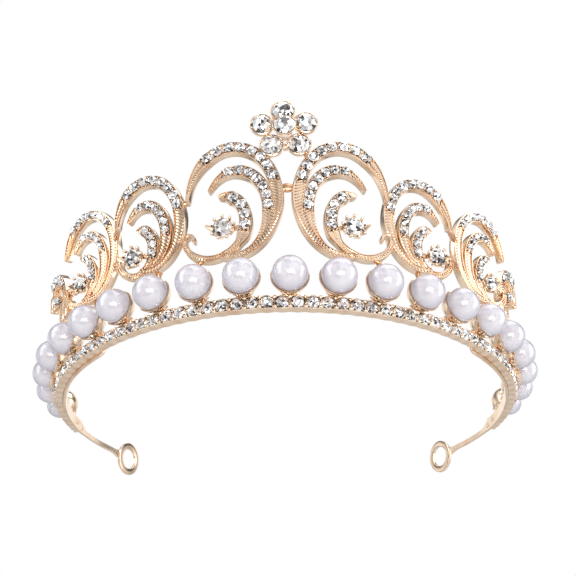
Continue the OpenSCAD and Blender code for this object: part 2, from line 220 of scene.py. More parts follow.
class TiaraFinish(bpy.types.PropertyGroup):
    """Colours and gloss of the tiara's materials."""

    gold: bpy.props.FloatVectorProperty(
        name="Gold", description="Colour of the polished plating", subtype="COLOR", size=3,
        default=(0.93, 0.74, 0.57))
    gold_deep: bpy.props.FloatVectorProperty(
        name="Deep gold", description="Colour of the plating where it is thinner", subtype="COLOR",
        size=3, default=(0.82, 0.57, 0.39))
    solder: bpy.props.FloatVectorProperty(
        name="Solder", description="Colour of the plated solder joints", subtype="COLOR", size=3,
        default=(0.76, 0.45, 0.28))
    # Pearl colours: painted light where the pearls face the eye, and painted shade towards their rims.
    nacre: bpy.props.FloatVectorProperty(
        name="Nacre", description="Colour of the pearls where they face the eye", subtype="COLOR", size=3,
        default=(0.78, 0.75, 0.80))
    # Painted shade: the darker colour painted on the pearls' rims, where they turn from the eye.
    nacre_painted_rim_shade: bpy.props.FloatVectorProperty(
        name="Nacre edge", description="Colour of the pearls towards their edges", subtype="COLOR",
        size=3, default=(0.50, 0.49, 0.60))
    # Painted reflection: the colour of the brightest painted facets in the crystals.
    crystal: bpy.props.FloatVectorProperty(
        name="Crystal", description="Colour of the brightest facets", subtype="COLOR", size=3,
        default=(0.97, 0.98, 1.0))
    gold_gloss: bpy.props.FloatProperty(
        name="Gold roughness", description="Mean roughness of the polished plating",
        default=0.16, subtype="FACTOR")


class TiaraStage(bpy.types.PropertyGroup):
    """Floor, light and lens."""

    floor_drop: bpy.props.FloatProperty(
        name="Floor drop", description="Height of the end rings above the floor",
        default=0.25, unit="LENGTH")
    floor_width: bpy.props.FloatProperty(
        name="Floor width", description="Width of the floor", default=8.0, unit="LENGTH")
    lens: bpy.props.FloatProperty(
        name="Lens", description="Focal length of the camera in millimetres", default=40.48)
    light: bpy.props.FloatProperty(
        name="Light", description="Brightness of all the lamps together", default=1.0)


# ---------------------------------------------------------------- placing


def turn_at(s):
    """Angle that the pearl line has turned through at distance s."""
    if s <= FRONT_LEN:
        return s / FRONT_R
    return FRONT_HALF + (s - FRONT_LEN) / SIDE_R


def line_point(s, inward=0.0, z=0.0):
    """Point at distance s, moved inwards from the pearl line. A negative s is on the left."""
    turn = turn_at(abs(s))
    front = abs(s) <= FRONT_LEN
    radius = (FRONT_R if front else SIDE_R) - inward
    x = (0.0 if front else SIDE_CX) + radius * math.sin(turn)
    y = (FRONT_CY if front else SIDE_CY) - radius * math.cos(turn)
    return Vector((math.copysign(x, s) if s else x, y, z))


def on_line(s, side):
    """Frame on the pearl line: x outward along it, y inward, z up."""
    place = Matrix.Translation(line_point(s)) @ Matrix.Rotation(turn_at(s), 4, "Z")
    return Matrix.Diagonal((side, 1, 1, 1)) @ place


def leaning_wall(s, side, turn, lean, height, roll=0.0):
    """Frame on the leaning wall of castings: x along it, y up it and z to the front."""
    return (
        on_line(s, side)
        @ Matrix.Rotation(-math.radians(turn), 4, "Z")
        @ Matrix.Translation((0, WALL_INSET, PEARL_Z))
        @ Matrix.Rotation(math.radians(lean), 4, "X")
        @ Matrix.Translation((0, 0, height))
        @ Matrix.Rotation(math.radians(roll), 4, "Y")
        @ Matrix.Rotation(math.pi / 2, 4, "X")
    )


def scroll_wall(i, side):
    """Frame at the foot of scroll i."""
    lean = SCROLL_LEAN[side][i]
    return leaning_wall(SCROLL_AT[side][i], side, SCROLL_TURN[i], lean, SCROLL_FOOT, SCROLL_ROLL[side][i])


def flower_wall():
    """Frame at the middle of the flower."""
    wall = leaning_wall(0, 1, 0, WALL_LEAN, FLOWER_Z)
    return wall @ Matrix.Translation((FLOWER_X, 0, 0)) @ Matrix.Rotation(math.radians(FLOWER_TILT), 4, "Z")


def at_pearl(k):
    """Frame at the middle of pearl k, which counts from the left end; z points inwards."""
    s = (k - PEARLS_EACH_SIDE - 1) * PEARL_PITCH
    frame_here = on_line(abs(s), -1 if s < 0 else 1)
    return frame_here @ Matrix.Translation((0, 0, PEARL_Z)) @ Matrix.Rotation(-math.pi / 2, 4, "X")


def polar(angle_deg, radius, z=0.0):
    """Frame at a polar place in the xy plane, with x pointing outwards."""
    return Matrix.Rotation(math.radians(angle_deg), 4, "Z") @ Matrix.Translation((radius, 0, z))


def table(share, stops):
    """Value at a share between 0 and 1 of a list of (share, value) stops."""
    for (low, start), (high, end) in zip(stops, stops[1:]):
        if share <= high:
            return start + (end - start) * max(share - low, 0) / (high - low)
    return stops[-1][1]


class Bow:
    """A stroke of a scroll, walked by its length."""

    STEPS = 240

    def __init__(self, shape):
        self.cx, self.cz, self.a, self.b, start, end = shape[:6]
        self.tail_a, self.tail_b = shape[6:] or (self.a, self.b)
        self.angles = [math.radians(start + (end - start) * n / self.STEPS) for n in range(self.STEPS + 1)]
        self.lengths = [0.0]
        for here, there in zip(self.angles, self.angles[1:]):
            self.lengths.append(self.lengths[-1] + (self.point(there) - self.point(here)).length)
        self.length = self.lengths[-1]

    def halves(self, angle):
        """Half width and half height of the ellipse at an angle."""
        return (self.tail_a, self.tail_b) if angle > math.pi else (self.a, self.b)

    def point(self, angle):
        a, b = self.halves(angle)
        return Vector((self.cx - self.a + a * (1 + math.cos(angle)), self.cz + b * math.sin(angle), 0))

    def normal(self, angle):
        a, b = self.halves(angle)
        return Vector((math.cos(angle) / a, math.sin(angle) / b, 0)).normalized()

    def angle(self, distance):
        return table(distance, list(zip(self.lengths, self.angles)))

    def distance(self, angle_deg):
        return table(math.radians(angle_deg), list(zip(self.angles, self.lengths)))

    def frame_at(self, distance, z=0.0):
        """Frame on the stroke: x across it outwards, y along it, z to the front."""
        angle = self.angle(distance)
        across = self.normal(angle)
        turn = math.atan2(across.y, across.x)
        return Matrix.Translation(self.point(angle) + Vector((0, 0, z))) @ Matrix.Rotation(turn, 4, "Z")


# ---------------------------------------------------------------- mesh work


def template(bm):
    """Keeps a finished shape to be stamped many times."""
    mesh = bpy.data.meshes.new("template")
    bm.to_mesh(mesh)
    bm.free()
    return mesh


def stamp(bm, mesh, matrix):
    """Adds a template at a place."""
    first = len(bm.verts)
    bm.from_mesh(mesh)
    bm.verts.ensure_lookup_table()
    bmesh.ops.transform(bm, matrix=matrix, verts=bm.verts[first:])


def sweep(bm, sections):
    """Pulls the outline of the first section through all the others, and closes both ends."""
    ring = bmesh.ops.create_circle(bm, segments=len(sections[0]), radius=1)["verts"]
    for vert, place in zip(ring, sections[0]):
        vert.co = place
    edges = [bm.edges.get((ring[n - 1], ring[n])) for n in range(len(ring))]
    bmesh.ops.edgeloop_fill(bm, edges=edges)
    for section in sections[1:]:
        pulled = bmesh.ops.extrude_edge_only(bm, edges=edges)["geom"]
        fresh = {part for part in pulled if isinstance(part, bmesh.types.BMVert)}
        ring = [next(e.other_vert(v) for e in v.link_edges if e.other_vert(v) in fresh) for v in ring]
        for vert, place in zip(ring, section):
            vert.co = place
        edges = [bm.edges.get((ring[n - 1], ring[n])) for n in range(len(ring))]
    bmesh.ops.edgeloop_fill(bm, edges=edges)


def lathe(profile, steps, closed=False):
    """Spins points of (radius, height) about z. An open profile starts and ends on the axis."""
    bm = bmesh.new()
    verts = [bm.verts.new((radius, 0, height)) for radius, height in profile]
    pairs = list(zip(verts, verts[1:]))
    if closed:
        pairs.append((verts[-1], verts[0]))
    edges = [bm.edges.new(pair) for pair in pairs]
    bmesh.ops.spin(
        bm, geom=verts + edges, cent=(0, 0, 0), axis=(0, 0, 1), angle=2 * math.pi,
        steps=steps, use_merge=True, use_duplicate=False)
    bmesh.ops.remove_doubles(bm, verts=bm.verts, dist=0.001)
    bmesh.ops.recalc_face_normals(bm, faces=bm.faces)
    return bm


def arc(cx, cz, radius, start_deg, end_deg, steps):
    """Points (radius, height) on an arc of a profile."""
    turns = [math.radians(start_deg + (end_deg - start_deg) * n / steps) for n in range(steps + 1)]
    return [(cx + radius * math.cos(t), cz + radius * math.sin(t)) for t in turns]


def bead(segments=8, rings=5):
    """A small ball of unit radius."""
    bm = bmesh.new()
    bmesh.ops.create_uvsphere(bm, u_segments=segments, v_segments=rings, radius=1)
    return template(bm)


def stretch(x, y, z):
    return Matrix.Diagonal((x, y, z, 1))


def brilliant(width, height):
    """A cut stone on its culet: pavilion, girdle, star and kite facets, and table."""
    # share of the width, share of the height, sides, turned by half a side
    levels = (
        (0.07, 0.0, 8, 0),
        (0.5, 0.50, 16, 1),
        (0.5, 0.57, 16, 1),
        (0.41, 0.80, 8, 1),
        (0.29, 1.0, 8, 0),
    )
    bm = bmesh.new()
    for share, level, sides, turned in levels:
        place = Matrix.Translation((0, 0, level * height)) @ Matrix.Rotation(turned * math.pi / sides, 4, "Z")
        bmesh.ops.create_circle(bm, segments=sides, radius=share * width, matrix=place)
    bmesh.ops.convex_hull(bm, input=bm.verts)
    loose = [edge for edge in bm.edges if not edge.link_faces]
    bmesh.ops.delete(bm, geom=loose, context="EDGES")
    bmesh.ops.dissolve_limit(bm, angle_limit=math.radians(1), verts=bm.verts, edges=bm.edges)
    return template(bm)


def add_object(name, bm, material):
    """Makes an object of a finished shape."""
    mesh = bpy.data.meshes.new(name)
    bm.to_mesh(mesh)
    bm.free()
    mesh.materials.append(material)
    thing = bpy.data.objects.new(name, mesh)
    bpy.context.scene.collection.objects.link(thing)
    return thing


def finish_piece(name, bm, material, replaced, smooth=True):
    """Turns a shape in millimetres into a piece that stands for CAD nodes."""
    bmesh.ops.recalc_face_normals(bm, faces=bm.faces)
    bmesh.ops.scale(bm, vec=(MM, MM, MM), verts=bm.verts)
    sharp = math.radians(CREASE)
    for face in bm.faces:
        face.smooth = smooth
    for edge in bm.edges:
        edge.smooth = smooth and edge.calc_face_angle(math.pi) < sharp
    piece = add_object(name, bm, material)
    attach(piece, "root")
    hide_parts(*replaced)


# ---------------------------------------------------------------- materials


def new_material(name):
    """A material, its node tree and its main shader."""
    material = bpy.data.materials.new(name)
    material.use_nodes = True
    tree = material.node_tree
    return material, tree, tree.nodes["Principled BSDF"]


def set_inputs(node, values):
    """Sets constant values on a node's own sockets."""
    for name, value in values.items():
        node.inputs[name].default_value = value


def texture(tree, kind, scale, **values):
    """A texture node on Object coordinates, with a scale in features per metre."""
    node = tree.nodes.new(kind)
    set_inputs(node, {"Scale": scale, **values})
    coords = tree.nodes.new("ShaderNodeTexCoord")
    tree.links.new(coords.outputs["Object"], node.inputs["Vector"])
    return node


def ramp(tree, source, stops, interpolation="LINEAR"):
    """A colour ramp fed by a value."""
    node = tree.nodes.new("ShaderNodeValToRGB")
    node.color_ramp.interpolation = interpolation
    elements = node.color_ramp.elements
    while len(elements) < len(stops):
        elements.new(1.0)
    for element, (place, colour) in zip(elements, stops):
        element.position = place
        element.color = (*colour, 1)
    tree.links.new(source, node.inputs["Fac"])
    return node.outputs["Color"]


def grey(value):
    return (value, value, value)


def bump(tree, height, strength, distance, under=None):
    """A bump node, laid over another one."""
    node = tree.nodes.new("ShaderNodeBump")
    node.inputs["Strength"].default_value = strength
    node.inputs["Distance"].default_value = distance
    tree.links.new(height, node.inputs["Height"])
    if under:
        tree.links.new(under, node.inputs["Normal"])
    return node.outputs["Normal"]


def plating(name, bright, deep, roughness, grain):
    """Gold plating over a cast surface: faint clouding, polish marks and a fine grain."""
    material, tree, shader = new_material(name)
    shader.inputs["Metallic"].default_value = 1.0
    clouds = texture(tree, "ShaderNodeTexNoise", 180, Detail=4.0, Roughness=0.6)
    colours = ramp(tree, clouds.outputs["Fac"], ((0.3, deep), (0.52, bright)))
    tree.links.new(colours, shader.inputs["Base Color"])
    polish = texture(tree, "ShaderNodeTexNoise", 900, Detail=3.0)
    low, high = grey(roughness * 0.7), grey(roughness * 1.5)
    tree.links.new(ramp(tree, polish.outputs["Fac"], ((0.3, low), (0.7, high))), shader.inputs["Roughness"])
    cast = texture(tree, "ShaderNodeTexNoise", 1400, Detail=2.0)
    tree.links.new(bump(tree, cast.outputs["Fac"], grain, 0.05 * MM), shader.inputs["Normal"])
    return material


def nacre(name, body, edge):
    """Pearl: milky body with painted shade that darkens and cools it towards its edge as it turns from the
    eye, under a clouded glossy skin.
    """
    material, tree, shader = new_material(name)
    set_inputs(shader, {
        "Roughness": 0.3,
        "Specular IOR Level": 0.9,
        "Coat Weight": 0.9,
        "Coat Roughness": 0.2,
        "Coat IOR": 2.1,
        "Sheen Weight": 0.15,
        "Sheen Roughness": 0.4,
        "Subsurface Weight": 0.25,
        "Subsurface Radius": (1.0, 0.8, 0.8),
        "Subsurface Scale": 1.2 * MM,
    })
    # Painted shade: the base colour runs from the body colour where the pearl faces the eye to the darker
    # edge colour at its rim.
    facing = tree.nodes.new("ShaderNodeLayerWeight")
    facing.inputs["Blend"].default_value = 0.5
    painted_rim_shade = ramp(tree, facing.outputs["Facing"], ((0.1, body), (0.85, edge)))
    clouds = texture(tree, "ShaderNodeTexNoise", 220, Detail=3.0)
    veil = ramp(tree, clouds.outputs["Fac"], ((0.35, (0.93, 0.91, 0.93)), (0.6, grey(1.0))))
    veiled = tree.nodes.new("ShaderNodeMixRGB")
    veiled.blend_type = "MULTIPLY"
    veiled.inputs["Fac"].default_value = 1.0
    tree.links.new(painted_rim_shade, veiled.inputs["Color1"])
    tree.links.new(veil, veiled.inputs["Color2"])
    tree.links.new(veiled.outputs["Color"], shader.inputs["Base Color"])
    skin = texture(tree, "ShaderNodeTexNoise", 700, Detail=2.0)
    tree.links.new(bump(tree, skin.outputs["Fac"], 0.06, 0.05 * MM), shader.inputs["Normal"])
    return material


def cut_crystal(name, bright, facet):
    """Foiled crystal: inner facets painted dark to bright in their base colour as painted reflections, and
    tilted to catch the light their own way, under a clear crown.
    """
    material, tree, shader = new_material(name)
    set_inputs(shader, {"Metallic": 0.85, "Roughness": 0.06, "Coat Weight": 1.0, "Coat Roughness": 0.02})
    cells = texture(tree, "ShaderNodeTexVoronoi", 1 / (facet * MM))
    split = tree.nodes.new("ShaderNodeSeparateColor")
    tree.links.new(cells.outputs["Color"], split.inputs["Color"])
    # Painted reflections: each facet cell gets a base colour from near black to bright, standing in for the
    # light and dark it would mirror.
    painted_facet_reflections = (
        (0.0, grey(0.05)),
        (0.13, (0.32, 0.29, 0.28)),
        (0.27, (0.66, 0.62, 0.60)),
        (0.45, bright),
    )
    tree.links.new(ramp(tree, split.outputs["Red"], painted_facet_reflections, "CONSTANT"), shader.inputs["Base Color"])
    tilt = tree.nodes.new("ShaderNodeVectorMath")
    tilt.operation = "SUBTRACT"
    tilt.inputs[1].default_value = (0.5, 0.5, 0.5)
    tree.links.new(cells.outputs["Color"], tilt.inputs[0])
    lean = tree.nodes.new("ShaderNodeVectorMath")
    lean.operation = "MULTIPLY_ADD"
    lean.inputs[1].default_value = (0.9, 0.9, 0.9)
    surface = tree.nodes.new("ShaderNodeNewGeometry")
    tree.links.new(tilt.outputs["Vector"], lean.inputs[0])
    tree.links.new(surface.outputs["Normal"], lean.inputs[2])
    unit = tree.nodes.new("ShaderNodeVectorMath")
    unit.operation = "NORMALIZE"
    tree.links.new(lean.outputs["Vector"], unit.inputs[0])
    tree.links.new(unit.outputs["Vector"], shader.inputs["Normal"])
    return material


def materials():
    """The tiara's finishes, made once."""
    finish = bpy.context.scene.tiara_finish
    makers = {
        "polished_gold": lambda n: plating(n, finish.gold, finish.gold_deep, finish.gold_gloss, 0.12),
        "rail_gold": lambda n: plating(n, finish.gold, finish.gold_deep, finish.gold_gloss * 1.2, 0.25),
        "solder_gold": lambda n: plating(n, finish.solder, finish.gold_deep, finish.gold_gloss * 1.2, 0.6),
        "pearl_nacre": lambda n: nacre(n, finish.nacre, finish.nacre_painted_rim_shade),
        "small_crystal": lambda n: cut_crystal(n, finish.crystal, 0.5),
        "large_crystal": lambda n: cut_crystal(n, finish.crystal, 0.8),
    }
    return {name: bpy.data.materials.get(name) or make(name) for name, make in makers.items()}


# ---------------------------------------------------------------- the rail


def rail_section(s, scallop):
    """Outline of the rail at s: a channel whose edges dip between the stones."""
    between = 0.5 + 0.5 * math.cos(2 * math.pi * s / RAIL_PITCH)
    ripple = 0.15
    high = RAIL_HALF - scallop * between
    face = RAIL_FACE + ripple * between
    floor = RAIL_FACE + RAIL_GROOVE
    lip = 1.42
    soft = 0.1
    upper = (
        (RAIL_BACK, high - soft), (RAIL_BACK - soft, high), (face + soft, high),
        (face, high - soft), (face + 0.06, lip), (floor, lip - 0.15),
    )
    outline = list(upper) + [(inward, -z) for inward, z in reversed(upper)]
    return [line_point(s, inward, RAIL_MID + z) for inward, z in outline]


def build_rail(scallop):
    """The channel, its end caps and the beads and dividers between the stones."""
    bm = bmesh.new()
    steps_per_stone = 8
    count = int(RAIL_REACH / RAIL_PITCH * steps_per_stone)
    step = RAIL_PITCH / steps_per_stone
    stations = [n * step for n in range(-count, count + 1)]
    sweep(bm, [rail_section(s, scallop) for s in stations])
    ball = bead(10, 6)
    small = bead(8, 5)
    ball_size = stretch(0.6, 0.46, 0.44)
    divider = Matrix.Translation((0, 0.3, 0)) @ stretch(0.26, 0.62, 1.4)
    for side in (-1, 1):
        # the gap in the middle belongs to both halves, and is filled once
        for n in range(0 if side > 0 else 1, RAIL_STONES + 1):
            gap = on_line(n * RAIL_PITCH, side) @ Matrix.Translation((0, RAIL_FACE + 0.18, RAIL_MID))
            stamp(bm, small, gap @ divider)
            for z in (-1.22, 1.22):
                stamp(bm, ball, gap @ Matrix.Translation((0, 0, z)) @ ball_size)
    return bm


# ---------------------------------------------------------------- pearls and cups


def build_pearl():
    """A pearl with its blind hole on the far side, along z."""
    radius = PEARL_D / 2
    hole = 0.45
    edge = math.degrees(math.acos(hole / radius))
    profile = arc(0, 0, radius, -90, edge, 32) + [(hole, 0.8), (0, 0.6)]
    profile[0] = (0, -radius)
    return template(lathe(profile, 48))


def build_cup(wall):
    """The shell behind a pearl, set back from it, with a rolled lip. z points inwards."""
    back = 0.6
    outer = PEARL_D / 2 + wall
    inner = PEARL_D / 2 + 0.03
    lip = 1.35
    shell = [
        (math.cos(t) * outer, back + math.sin(t) * outer)
        for t in [math.radians(8 + 82 * n / 9) for n in range(10)]
    ]
    start = math.degrees(math.asin((lip + 0.1) / inner))
    lining = arc(0, 0, inner, 90, start, 8)
    lining[0] = (0, inner)
    shell[-1] = (0, back + outer)
    roll = [(math.cos(math.radians(start)) * inner + 0.2, lip - 0.08), (outer - 0.14, lip - 0.1)]
    return template(lathe(lining + roll + shell, 36))


def build_collar():
    """The flared foot that joins a cup to the rail, along z from 0 to 2.2."""
    profile = [(0, 0), (2.1, 0), (2.2, 0.25), (1.85, 0.55), (1.75, 0.95), (2.1, 1.45), (2.4, 1.9), (0, 2.2)]
    return template(lathe(profile, 20))


# ---------------------------------------------------------------- scrolls


def stroke_section(half, sink, thick, rim):
    """Outline across a stroke: (across, front) points with raised rims and a sunk middle."""
    soft = min(0.26, half * 0.4)
    rim = min(rim, half * 0.5)
    front = thick / 2
    one_side = (
        (half - soft, -front),
        (half, -front + soft),
        (half, front - soft * 0.8),
        (half - rim * 0.35, front),
        (half - rim * 0.75, front),
        (half - rim, front - sink),
    )
    return list(one_side) + [(-across, z) for across, z in reversed(one_side)]


def cast_stroke(bm, bow, widths, rim, stones=None):
    """Sweeps one stroke of a scroll. Its middle is sunk deeper where stones are set."""
    shallow = 0.32
    step = 0.45
    count = int(bow.length / step)
    ends = (0.03, 0.12, 0.26)
    distances = [bow.length * n / count for n in range(1, count)]
    distances += list(ends) + [bow.length - d for d in ends]
    sections = []
    for distance in sorted(distances):
        share = distance / bow.length
        half = table(share, widths) / 2
        near = min(distance, bow.length - distance) / half
        closing = math.sqrt(max(1 - (1 - min(near, 1)) ** 2, 0.02))
        sink = shallow
        if stones:
            inside = min(distance - stones[0], stones[1] - distance)
            sink += (PAVE_SINK - shallow) * min(max(inside / 0.3 + 0.5, 0), 1)
        sink *= closing
        angle = bow.angle(distance)
        centre = bow.point(angle)
        normal = bow.normal(angle)
        outline = stroke_section(half * closing, sink, PLATE_T * (0.55 + 0.45 * closing), rim)
        sections.append([centre + normal * across + Vector((0, 0, z)) for across, z in outline])
    sweep(bm, sections)


def hatch(bm, bow, widths, start, end, pitch, grain, lean_deg, rim):
    """Raised bars lying across the sunk middle of a stroke."""
    count = int((end - start) / pitch)
    for n in range(count + 1):
        distance = start + n * pitch
        reach = table(distance / bow.length, widths) / 2 - rim * 0.8
        if reach < 0.2:
            continue
        place = bow.frame_at(distance, PLATE_T / 2 - 0.24)
        bar = Matrix.Rotation(math.radians(lean_deg), 4, "Z") @ stretch(reach * 1.12, pitch * 0.36, 0.24)
        stamp(bm, grain, place @ bar)


def milgrain(bm, bow, start, end, pitch, grain):
    """A line of beads along the middle of a stroke."""
    count = int((end - start) / pitch)
    for n in range(count + 1):
        stamp(bm, grain, bow.frame_at(start + n * pitch, PLATE_T / 2 - 0.16) @ stretch(0.34, 0.26, 0.3))


def stone_places(bow, i, row):
    """Distances of the stones along a stroke."""
    first = bow.distance(FIRST_STONE[i][row])
    return [first + n * PAVE_PITCH[i][row] for n in range(STONE_COUNTS[i][row])]


def stroke_widths(i, row):
    """Widths of a stroke, with the width at its stones filled in."""
    return [(share, width or PAVE_D[i] + 2 * BORDER) for share, width in ROW_WIDTHS[row]]


def build_scroll(i, sizes):
    """The casting of scroll i, on its own wall."""
    rim = sizes.rim_width / MM
    pitch = sizes.hatch_pitch / MM
    bead_r = sizes.bead_width / MM / 2
    clear = 0.3
    grain = bead(6, 4)
    bm = bmesh.new()
    for row in range(len(STONE_COUNTS[i])):
        bow = Bow(ROW_BOWS[row][i])
        widths = stroke_widths(i, row)
        places = stone_places(bow, i, row)
        gap = PAVE_PITCH[i][row]
        span = (places[0] - gap / 2, places[-1] + gap / 2)
        cast_stroke(bm, bow, widths, rim, span)
        if row < 2:
            hatch(bm, bow, widths, bow.length * 0.05, span[0] - clear, pitch, grain, TIP_LEAN, rim)
            hatch(bm, bow, widths, span[1] + clear, bow.length * 0.97, pitch, grain, TAIL_LEAN, rim)
        else:
            hatch(bm, bow, widths, bow.length * 0.08, span[0] - clear, pitch, grain, INNER_LEAN, rim)
            milgrain(bm, bow, span[1] + clear, bow.length * 0.98, pitch * 0.8, grain)
        for place in [places[0] - gap] + places:
            held = bow.frame_at(place + gap / 2, PLATE_T / 2 - 0.05)
            reach = PAVE_D[i] / 2 - 0.2
            for across in (-reach, reach):
                stamp(bm, grain, held @ Matrix.Translation((across, 0, 0)) @ stretch(bead_r, bead_r, bead_r))
    foot = Bow(FOOT_BOWS[i])
    cast_stroke(bm, foot, FOOT_WIDTHS, rim)
    milgrain(bm, foot, foot.length * 0.05, foot.length * 0.86, pitch * 0.8, grain)
    tip = foot.point(foot.angle(foot.length))
    curl_r = 0.17 * FOOT_BOWS[i][2]
    curl = Bow((tip.x - curl_r, tip.y - 0.2, curl_r, curl_r * 1.15, 0, 215))
    cast_stroke(bm, curl, CURL_WIDTHS, rim)
    return bm


def build_pave(i):
    """The small stones of scroll i, on its own wall."""
    bm = bmesh.new()
    for row in range(len(STONE_COUNTS[i])):
        bow = Bow(ROW_BOWS[row][i])
        gem = brilliant(min(PAVE_PITCH[i][row] - PAVE_GAP, PAVE_D[i] + PAVE_OVERHANG), PAVE_H)
        for n, place in enumerate(stone_places(bow, i, row)):
            turned = Matrix.Rotation(PAVE_SPIN * n + row, 4, "Z")
            stamp(bm, gem, bow.frame_at(place, PLATE_T / 2 - PAVE_SINK + 0.04) @ turned)
    return bm


def build_crown(i):
    """Crown setting: a tapered gallery with a ring of ball-tipped prongs. z points forward."""
    seat = SOLITAIRE_D[i] / 2
    prongs = 9
    bm = lathe(
        [(0, 0), (seat - 0.9, 0), (seat - 0.75, 0.15), (seat - 0.25, 0.85), (seat + 0.04, 1.5),
         (seat - 0.1, 1.62), (seat - 0.3, 1.45), (seat - 0.75, 0.85), (0, 0.8)], 32)
    tip = bead(8, 6)
    path = ((seat - 0.5, 0.15), (seat - 0.1, 0.9), (seat + 0.22, 1.6), (seat + 0.5, 2.15))
    for n in range(prongs):
        place = polar(360 * n / prongs + 10, 0)
        sections = []
        for radius, z in path:
            rod = [(0.33 * math.cos(t), 0.33 * math.sin(t)) for t in [math.pi * k / 3 for k in range(6)]]
            sections.append([place @ Vector((radius + 0.8 * x, y, z - 0.5 * x)) for x, y in rod])
        sweep(bm, sections)
        stamp(bm, tip, place @ Matrix.Translation((seat + 0.42, 0, 2.3)) @ stretch(0.44, 0.42, 0.42))
    return bm


# ---------------------------------------------------------------- flower, strips, rings, solder


def build_flower():
    """Five petal cups round a raised middle cup."""
    bm = bmesh.new()
    petal_r = PETAL_D / 2
    petal = template(lathe(
        [(0, -1), (petal_r - 0.8, -1), (petal_r - 0.3, -0.75), (petal_r + 0.2, -0.1),
         (petal_r + 0.42, 0.8), (petal_r + 0.4, 1.3), (petal_r + 0.22, 1.4),
         (petal_r + 0.04, 1.25), (petal_r - 0.02, 0.3), (0, 0.15)], 40))
    centre_r = CENTRE_D / 2
    centre = template(lathe(
        [(0, -0.9), (1.9, -0.9), (2.0, 0.6), (centre_r - 0.3, 1.5), (centre_r + 0.18, 2.3),
         (centre_r + 0.32, 3.0), (centre_r + 0.2, 3.2), (centre_r + 0.02, 3.05),
         (centre_r - 0.04, 2.35), (0, 2.15)], 40))
    grain = bead(8, 6)
    for n in range(PETALS):
        turn = 90 + 72 * n
        stamp(bm, petal, polar(turn, PETAL_RING))
        stamp(bm, grain, polar(turn + 36, 4.4, -0.2) @ stretch(1.0, 1.1, 0.8))
        for lean in (-38, 38, 180 - 38, 180 + 38):
            place = polar(turn, PETAL_RING) @ polar(lean, petal_r + 0.1, 1.35)
            stamp(bm, grain, place @ stretch(0.3, 0.3, 0.3))
    stamp(bm, centre, Matrix.Identity(4))
    return bm


def build_strip(side):
    """Strip inside the rail, which narrows to a stem and runs straight on to the ring."""
    bm = bmesh.new()
    start = STRIP_FROM - 1.5
    strip_end = RAIL_REACH + 1
    stem_end = STEM_TO + RING_REACH - 5.0
    thick = LOOP_T / 2
    straight = on_line(STEM_TO, side)
    sections = []
    distances = [start + d for d in (0.02, 0.15, 0.4, 0.8, 1.4)]
    distances += [start + 2.2 + n for n in range(int(stem_end - start - 2))]
    for s in distances:
        half = 1.5 * math.sqrt(max(1 - (1 - min((s - start) / 1.5, 1)) ** 2, 0.01))
        narrowing = min(max((s - strip_end + 2) / 3, 0), 1)
        flare = min(max((s - stem_end + 4) / 4, 0), 1)
        half = half + (0.8 - half) * narrowing + 0.7 * flare ** 2
        z = STRIP_LOW + 1.5 - 0.5 * narrowing + (RING_Z - STRIP_LOW - 1.0) * flare
        soft = 0.18
        outline = (
            (-thick, half - soft), (-thick + soft, half), (thick - soft, half), (thick, half - soft),
            (thick, -half + soft), (thick - soft, -half), (-thick + soft, -half), (-thick, -half + soft))
        section = []
        for across, up in outline:
            inward = RAIL_BACK + thick + across
            if s <= STEM_TO:
                section.append(line_point(side * s, inward, z + up))
            else:
                section.append(straight @ Vector((s - STEM_TO, inward, z + up)))
        sections.append(section)
    sweep(bm, sections)
    drop = bead(12, 8)
    for s, z in ((STRIP_FROM + 0.2, 6.1), (108.5, 6.4), (112.6, 5.9)):
        dot = on_line(s, side) @ Matrix.Translation((0, RAIL_BACK + LOOP_T, z))
        stamp(bm, drop, dot @ stretch(0.75, 0.35, 0.7))
    return bm


def build_end_ring(side):
    """Flat ring at the end of the stem, with softened edges."""
    ring = lathe(
        [(3.2, -0.3), (3.2, 0.3), (3.4, 0.48), (4.9, 0.5), (5.12, 0.38), (5.2, 0.1), (5.2, -0.1),
         (5.12, -0.38), (4.9, -0.5), (3.4, -0.48)], 56, closed=True)
    place = on_line(STEM_TO, side) @ Matrix.Translation((RING_REACH, RAIL_BACK + LOOP_T / 2, RING_Z))
    bmesh.ops.transform(ring, matrix=place @ Matrix.Rotation(math.pi / 2, 4, "X"), verts=ring.verts)
    return ring


def joint(bm, drop, start, end):
    """A drop of solder drawn out from one point to another."""
    along = (end - start).to_track_quat("X", "Z").to_matrix().to_4x4()
    half = (end - start).length / 2
    stamp(bm, drop, Matrix.Translation((start + end) / 2) @ along @ stretch(half + 0.6, 0.8, 0.8))


